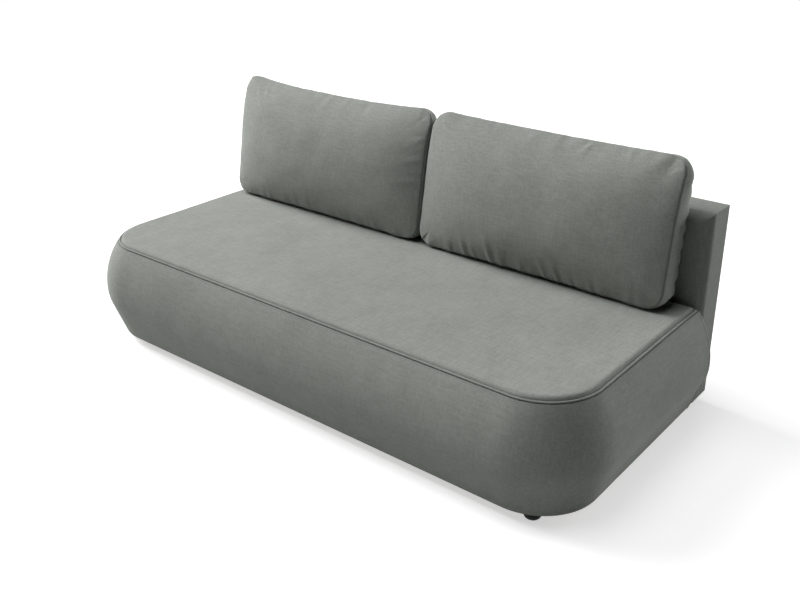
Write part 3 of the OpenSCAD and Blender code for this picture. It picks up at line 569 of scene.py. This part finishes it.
def face_pattern(front, sag, overhang=0.0):
    """The flat places of one face with its crown, as rows from the bottom to the top. The top edge sags by an
    amount. The rear face is lower than the front one, so that the band rolls down behind the top edge. An
    overhang widens the front face to the right, where the next cushion pushes it out, and lifts its far top
    corner."""
    v, u = np.meshgrid(spread(65), spread(125), indexing="ij")
    x, y = np.abs(u) * cushion_w / 2, np.abs(v) * cushion_h / 2
    dx, dy = x - cushion_w / 2 + cushion_corner, y - cushion_h / 2 + cushion_corner
    on_arc = np.maximum(dx, dy) / np.maximum(np.hypot(dx, dy), 1e-9)
    share = np.where((dx > 0) & (dy > 0), on_arc, 1)
    x = np.sign(u) * (x - np.maximum(dx, 0) * (1 - share))
    y = np.sign(v) * (y - np.maximum(dy, 0) * (1 - share))
    x -= 0.0035 * u * (1 - v ** 2)
    x += overhang * front * np.clip(u, 0, 1) ** 3
    ear = overhang * np.clip(-u, 0, 1) ** 6 * np.clip(v, 0, 1) ** 4
    x, y = x - 0.7 * ear, y + 1.1 * ear
    y -= (np.where(v > 0, sag, 0.006) * (1 - np.abs(u) ** 2.5) - cushion_raise * (v > 0)) * v
    crown = (1 - np.abs(u) ** 3.0) ** np.where(u > 0, 0.74, 0.80)
    crown = crown * (1 - v ** 2) ** np.where(v > 0, 0.68, 0.66)
    z = cushion_front * crown if front else -cushion_band - cushion_rear * crown
    if not front:
        y -= cushion_drop * np.clip(v, 0, 1) ** 2
    return np.stack([x, y, z], axis=-1)


def rim_of(pattern):
    """The points round a face, once round."""
    return np.concatenate([pattern[0], pattern[1:, -1], pattern[-1, -2::-1], pattern[-2::-1, 0]])


def band_pattern(front, rear):
    """The band between the faces: rows of points from one rim to the other, swelling in the middle."""
    rim, far_rim = rim_of(front), rim_of(rear)
    ahead, behind = np.roll(rim[:-1], -1, axis=0), np.roll(rim[:-1], 1, axis=0)
    way = (ahead - behind)[:, :2]
    way /= np.linalg.norm(way, axis=1, keepdims=True)
    way = np.concatenate([way, way[:1]])
    high = np.clip(rim[:, 1] / (cushion_h / 2), 0, 1) ** 2
    rows = []
    for t in np.linspace(0, 1, 15):
        row = rim * (1 - t) + far_rim * t
        swell = cushion_swell * (1 + 1.4 * high) * math.sin(math.pi * t)
        row[:, 0] += way[:, 1] * swell
        row[:, 1] -= way[:, 0] * swell
        rows.append(row)
    return np.array(rows)


def seated(p, x0):
    """Leans the flat cushion back and stands it on the seat. The front seam lies a bit behind the crest."""
    up = p[:, 1] + cushion_h / 2
    high = np.clip(p[:, 1] / (cushion_h / 2), 0, 1)
    out = p[:, 2] - seam_back * high ** 3 * np.clip(1 + p[:, 2] / cushion_band, 0, 1)
    y = back_y - cushion_foot - out * math.cos(cushion_lean) + up * math.sin(cushion_lean)
    z = lean_z + out * math.sin(cushion_lean) + up * math.cos(cushion_lean)
    return np.stack([x0 + p[:, 0], y, z], axis=1)


def held(p):
    """Keeps a cushion's points off the back and the seat."""
    p[:, 1] = np.minimum(p[:, 1], back_y - 0.0006)
    p[:, 2] = np.maximum(p[:, 2], rest_z + 0.0004)
    return p


def seam_distance(flat, rim):
    """How far each point lies from the front and from the rear seam, and where along the seam it is."""
    walked = np.concatenate([[0], np.cumsum(np.linalg.norm(np.diff(rim, axis=0), axis=1))])
    gap, place = np.empty(len(flat)), np.empty(len(flat))
    for i in range(0, len(flat), 4000):
        far = np.linalg.norm(flat[i:i + 4000, None, :2] - rim[None], axis=2)
        near = far.argmin(axis=1)
        gap[i:i + 4000] = far[np.arange(len(far)), near]
        place[i:i + 4000] = walked[near]
    on_band = (flat[:, 2] < -1e-4) & (flat[:, 2] > -cushion_band + 1e-4)
    gap = np.where(on_band, 0, gap)
    ahead, behind = flat[:, 2] >= -1e-4, flat[:, 2] <= -cushion_band + 1e-4
    to_front = np.where(ahead, gap, np.where(on_band, -flat[:, 2], 9.0))
    to_rear = np.where(behind, gap, np.where(on_band, cushion_band + flat[:, 2], 9.0))
    return to_front, to_rear, place, on_band


def inflate(piece, start, rim):
    """Fills the cover under a light pressure, held at the seams. No point moves further than its cap."""
    to_front, to_rear, _, on_band = seam_distance(coordinates(piece, "pattern"), rim)
    pins = piece.vertex_groups.new(name="seams")
    for i in np.nonzero((to_front < 1e-3) | (to_rear < 1e-3))[0]:
        pins.add([int(i)], 0.8, "REPLACE")
    cloth = piece.modifiers.new("cloth", "CLOTH")
    cloth.settings.quality = 4
    cloth.settings.mass = 0.25
    cloth.settings.tension_stiffness = cloth.settings.compression_stiffness = 12
    cloth.settings.shear_stiffness = 5
    cloth.settings.bending_stiffness = 0.4
    cloth.settings.use_pressure = True
    cloth.settings.uniform_pressure_force = 4
    cloth.settings.vertex_group_mass = "seams"
    cloth.settings.pin_stiffness = 20
    cloth.settings.effector_weights.gravity = 0
    cloth.collision_settings.use_collision = False
    scene = bpy.context.scene
    for f in range(1, 19):
        scene.frame_set(f)
    bpy.ops.object.select_all(action="DESELECT")
    piece.select_set(True)
    bpy.context.view_layer.objects.active = piece
    bpy.ops.object.modifier_apply(modifier=cloth.name)
    moved = coordinates(piece) - start
    length = np.linalg.norm(moved, axis=1, keepdims=True)
    cap = np.where(on_band, 0.006, 0.018)[:, None]
    moved *= cap * np.tanh(length / cap) / np.maximum(length, 1e-9)
    piece.data.vertices.foreach_set("co", held(start + moved).reshape(-1))
    piece.vertex_groups.clear()
    scene.frame_set(1)


def shape(piece, rim, seed, folds):
    """Grooves at the seams, gathers that run out from them, single folds and dents in the settled fill."""
    flat = coordinates(piece, "pattern")
    to_front, to_rear, place, _ = seam_distance(flat, rim)
    co = coordinates(piece)
    normals = np.empty(len(co) * 3)
    piece.data.vertex_normals.foreach_get("vector", normals)
    normals = normals.reshape(-1, 3)
    push, sewn = np.zeros(len(co)), np.zeros(len(co))
    for i, (p, f, r, s) in enumerate(zip(flat, to_front, to_rear, place)):
        near = min(f, r)
        high = p[1] / (cushion_h / 2)
        if near < 0.25:
            strength = 0.0012 + 0.0030 * max(0.0, -high) ** 6 + 0.0016 * max(0.0, high) ** 6
            strength += 0.0016 if r < f else 0
            reach = 0.020 + 0.050 * max(0.0, noise.noise(Vector((s * 5, seed, 0.5))) + 0.30)
            fold = 0.5 - 2.4 * abs(noise.noise(Vector((s * 15, seed * 3.3, 0.0))))
            fold += 0.8 * noise.noise(Vector((s * 42, seed * 1.7, 2.0)))
            push[i] += strength * fold * (1 - math.exp(-near / 0.006)) * math.exp(-near / reach)
            under_crest = min(1, max(0.0, (high - 0.70) / 0.25)) * (abs(p[0]) < cushion_w / 2 - 0.012)
            tight = 1 - 0.9 * under_crest
            push[i] -= seam_groove * tight * math.exp(-(near / 0.0032) ** 2)
            # Painted shade in the seam's groove, weaker under the crest.
            sewn[i] = 0.85 * tight * math.exp(-(near / 0.0023) ** 2)
            if r < 0.05 and abs(p[0]) > cushion_w / 2 - 0.03:
                stray = 0.010 * noise.noise(Vector((p[1] * 9, seed, 4.4)))
                pinch = abs(math.sin((p[1] + stray) * math.pi / 0.055))
                push[i] += 0.0060 * (pinch - 0.55) * math.exp(-r / 0.022)
        if p[2] >= -1e-4:
            push[i] += 0.0040 * noise.noise(Vector((p[0] * 3.2 + seed, p[1] * 4.0, 0.9))) * min(1, f / 0.08)
            push[i] += 0.0014 * noise.noise(Vector((p[0] * 9 + seed, p[1] * 12, 3.9))) * min(1, f / 0.05)
    face = flat[:, 2] >= -1e-4
    for x, y, dx, dy, width, depth in folds:
        length = math.hypot(dx, dy)
        along = ((flat[:, 0] - x) * dx + (flat[:, 1] - y) * dy) / length
        aside = ((flat[:, 0] - x) * dy - (flat[:, 1] - y) * dx) / length
        aside = aside + 0.12 * along ** 2 / length * np.sign(depth)
        t = along / length
        fade = np.clip(1 - t, 0, 1) ** 1.3 * np.clip((t + 0.4) / 0.4, 0, 1)
        fade = np.where(face & (t > -0.4) & (t < 1), fade, 0)
        w = width * (0.7 + 0.9 * np.clip(t, 0, 1))
        push += fade * depth * (np.exp(-(aside / w) ** 2) - 0.55 * np.exp(-((aside - 1.7 * w) / w) ** 2))
    co += normals * push[:, None]
    piece.data.vertices.foreach_set("co", held(co).reshape(-1))
    paint_seam_shade(piece, sewn)
    piece.data.attributes.remove(piece.data.attributes["pattern"])


def cushion(name, node, x0, sag, overhang, seed, folds):
    """Sews the faces to the band, inflates the cover, then adds the seams' grooves and folds."""
    front, rear = face_pattern(True, sag, overhang), face_pattern(False, sag)
    panels = [sheet(f"{name}_{side}", rows)
              for side, rows in (("front", front), ("rear", rear), ("band", band_pattern(front, rear)))]
    bpy.ops.object.select_all(action="DESELECT")
    for part in panels:
        part.data.attributes.new("pattern", "FLOAT_VECTOR", "POINT")
        part.data.attributes["pattern"].data.foreach_set("vector", coordinates(part).reshape(-1))
        part.select_set(True)
    bpy.context.view_layer.objects.active = panels[0]
    bpy.ops.object.join()
    piece = bpy.context.object
    piece.name = piece.data.name = name
    bpy.ops.object.mode_set(mode="EDIT")
    bpy.ops.mesh.select_all(action="SELECT")
    bpy.ops.mesh.remove_doubles(threshold=1e-5)
    bpy.ops.mesh.select_all(action="SELECT")
    bpy.ops.mesh.normals_make_consistent(inside=False)
    bpy.ops.object.mode_set(mode="OBJECT")
    rim = rim_of(front)[:, :2]
    halves = np.arange(0, len(rim) - 0.9, 0.5)
    rim = np.stack([np.interp(halves, np.arange(len(rim)), rim[:, k]) for k in (0, 1)], axis=1)
    start = held(seated(coordinates(piece, "pattern"), x0))
    piece.data.vertices.foreach_set("co", start.reshape(-1))
    inflate(piece, start, rim)
    finer = piece.modifiers.new("finer", "SUBSURF")
    finer.levels = finer.render_levels = 1
    bpy.ops.object.select_all(action="DESELECT")
    piece.select_set(True)
    bpy.context.view_layer.objects.active = piece
    bpy.ops.object.modifier_apply(modifier=finer.name)
    shape(piece, rim, seed, folds)
    bpy.ops.object.shade_smooth()
    dressed(piece, cushion_painted_light_cloth, node, "cushion_fabric", node)


# Painted light: the cushions' cloth is 13% lighter than the skirt's, for the light on their rounded faces.
cushion_painted_light_cloth = pile_fabric("cushion_painted_light_fabric", 1.13)
cushions_middle, cushion_x = -0.020, cushion_w / 2 + cushion_swell + 0.002
# Single folds: where they start on the face, how far they run, their width and their depth.
left_folds = [(-0.400, 0.205, 0.05, -0.07, 0.012, 0.0016), (-0.350, 0.215, 0.03, -0.06, 0.011, 0.0013),
              (-0.285, -0.238, 0.015, 0.030, 0.009, 0.0012), (0.000, 0.225, -0.05, -0.12, 0.020, 0.0014),
              (0.085, 0.225, -0.03, -0.09, 0.017, 0.0011), (0.462, 0.060, -0.12, -0.03, 0.016, 0.0012),
              (0.466, -0.020, -0.15, -0.02, 0.018, 0.0014), (0.470, 0.135, -0.07, -0.03, 0.014, 0.0016)]
right_folds = [(-0.335, -0.240, 0.00, 0.06, 0.009, 0.0024), (-0.268, -0.240, -0.01, 0.10, 0.011, 0.0034),
               (-0.225, -0.240, -0.01, 0.06, 0.009, 0.0020), (-0.155, -0.240, -0.012, 0.13, 0.012, 0.0048),
               (-0.108, -0.240, 0.01, 0.07, 0.010, 0.0024), (-0.030, -0.240, 0.01, 0.05, 0.011, 0.0018),
               (0.066, -0.240, -0.02, 0.09, 0.011, 0.0028), (0.118, -0.240, -0.02, 0.10, 0.010, 0.0034),
               (0.172, -0.240, -0.02, 0.05, 0.009, 0.0024), (0.246, -0.240, -0.02, 0.06, 0.010, 0.0020),
               (0.150, 0.232, -0.03, -0.05, 0.013, 0.0026), (-0.060, 0.230, -0.02, -0.05, 0.016, 0.0010),
               (0.440, 0.225, -0.04, -0.10, 0.028, -0.0045)]
cushion("back_cushion_left", "cushion_left", cushions_middle - cushion_x, 0.021, 0.009, 1.0, left_folds)
cushion("back_cushion_right", "cushion_right", cushions_middle + cushion_x, 0.007, 0.0, 5.0, right_folds)


# Feet
# Moulded black domes, screwed into the hem rails in front and into the back's bottom rail behind.
foot_spread, front_foot_h, rear_foot_h = 1.12, 0.037, 0.044
stud_r = 0.0039
plastic = Finish("moulded_black_plastic", specular_ior_level=0.15)
grain = plastic.spots(900, detail=2.0)
scuffs = plastic.spots(45, (1, 1, 0.3), 4.0, 2.0)
plastic.made_of(plastic.mix(plastic.sharpen(scuffs, 0.55, 0.8), (0.006, 0.006, 0.006), (0.022, 0.021, 0.020)),
                0.38 + 0.20 * plastic.sharpen(scuffs, 0.4, 0.75), grain, 0.00015, 0.3)


def turned_foot(name, node, body, h):
    """A dome turned from its outline: a flat sole, a full belly, a short neck under the rail and its stud."""
    low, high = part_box(node)
    r = (high.x - low.x) / 2 * foot_spread
    stud_z = h + (high.z - h) * 0.9
    outline = [(0, 0), (0.60, 0), (0.70, 0.015), (0.80, 0.05), (0.88, 0.11), (0.94, 0.20), (0.985, 0.32),
               (1.0, 0.45), (1.0, 0.72), (0.985, 0.80), (0.95, 0.85), (0.93, 0.865), (0.93, 1.0), (0.16, 1.0)]
    points = [(r * a, h * b) for a, b in outline] + [(stud_r, stud_z), (0, stud_z)]
    x, y = (low.x + high.x) / 2, (low.y + high.y) / 2
    angles = np.linspace(0, 2 * math.pi, 49)
    rows = [[(x + q * math.cos(a), y + q * math.sin(a), low.z + z) for a in angles] for q, z in points]
    dressed(loft(name, rows), plastic.material, body, "black_plastic", node)


for side in ("left", "right"):
    turned_foot(f"dome_foot_front_{side}", f"front_foot_{side}", "seat", front_foot_h)
    turned_foot(f"dome_foot_rear_{side}", f"rear_foot_{side}", "base", rear_foot_h)


# Timber
# Planed softwood for rails, slats, posts and legs, sanded plywood for the boards and hem rails, pressed
# hardboard for the back's panels. The grain runs along each piece.
def timber(name, stretch, dark, pale, rings=9.0):
    """Long drawn-out bands of early and late wood with fine pores."""
    wood = Finish(name, specular_ior_level=0.3)
    warp = wood.spots(3.0, stretch, 2.0, 1.0)
    bands = wood.spots(rings * 9, stretch, 3.0, 4.0)
    pores = wood.spots(420, stretch, 2.0, 8.0)
    tone = wood.sharpen(bands, 0.36, 0.64) * 0.55 + wood.sharpen(warp, 0.3, 0.7) * 0.25 + pores * 0.20
    relief = pores * 0.6 + bands * 0.4
    return wood.made_of(wood.mix(tone, dark, pale), 0.5 + 0.2 * bands, relief, 0.0003, 0.35)


PINE_DARK, PINE_PALE = (0.52, 0.34, 0.17), (0.78, 0.60, 0.37)
pine_x = timber("pine_along_width", (0.05, 1, 1), PINE_DARK, PINE_PALE)
pine_y = timber("pine_along_depth", (1, 0.05, 1), PINE_DARK, PINE_PALE)
pine_z = timber("pine_upright", (1, 1, 0.05), PINE_DARK, PINE_PALE)
plywood = timber("sanded_plywood", (0.12, 0.12, 1), (0.50, 0.36, 0.20), (0.70, 0.55, 0.35), 3.0)
hardboard = Finish("pressed_hardboard", specular_ior_level=0.3)
fibres = hardboard.spots(300, detail=4.0)
pressed = hardboard.mix(hardboard.sharpen(fibres, 0.3, 0.7), (0.16, 0.095, 0.05), (0.28, 0.18, 0.10))
hardboard.made_of(pressed, 0.6 + 0.2 * fibres, fibres, 0.0002, 0.3)


def finished(material, *names):
    """Gives CAD nodes their material in place of the plain one."""
    for name in names:
        data = nodes[name].data
        data.materials.clear()
        data.materials.append(material)


finished(pine_x, "seat_front_rail", "seat_rear_rail", "base_cross_rail", "slat_ledger", "back_top_rail",
         "back_mid_rail", "back_bottom_rail")
finished(pine_y, "seat_slats", "base_slats", "base_rail_left", "base_rail_right")
finished(pine_z, "base_legs", "back_posts")
finished(plywood, "side_board_left", "side_board_right", "front_board", "corner_former_left",
         "corner_former_right", "hem_rail_left", "hem_rail_right", "hem_rail_front", "hem_corner_left",
         "hem_corner_right", "back_lower_board")
finished(hardboard.material, "back_front_panel", "back_rear_panel")


# Sliding gear and small parts
# Zinc-plated tracks, axles, angles and bolts, nylon rollers, black plastic stops, pads and glides, and the
# non-woven cloth that closes the back below.
zinc = Finish("zinc_plated_steel", metallic=1.0)
spangle = zinc.spots(60, detail=3.0)
drawn = zinc.spots(300, (1, 0.04, 1), 2.0)
plated = zinc.mix(spangle * 0.6 + drawn * 0.4, (0.42, 0.43, 0.45), (0.62, 0.63, 0.64))
zinc.made_of(plated, 0.28 + 0.2 * spangle, drawn, 0.0001, 0.2)
nylon = Finish("turned_nylon", specular_ior_level=0.45)
lathe = nylon.spots(500, (0.1, 1, 1), 2.0)
milky = nylon.mix(lathe, (0.66, 0.66, 0.61), (0.80, 0.80, 0.76))
nylon.made_of(milky, 0.35 + 0.15 * lathe, lathe, 0.0001, 0.2)
felt = Finish("black_non_woven_cloth", sheen_weight=0.1)
matted = felt.spots(500, detail=4.0)
felt.made_of(felt.mix(matted, (0.012, 0.012, 0.012), (0.045, 0.045, 0.045)), 0.9, matted, 0.0004, 0.5)
finished(zinc.material, "rail_brackets", "stub_axles", "track_left", "track_right", "base_brackets",
         "base_bolts")
finished(nylon.material, "roller_front_left", "roller_rear_left", "roller_front_right", "roller_rear_right")
finished(plastic.material, "base_glides", "track_stops", "seat_slat_pads", "base_slat_pads")
finished(felt.material, "back_dust_cloth")
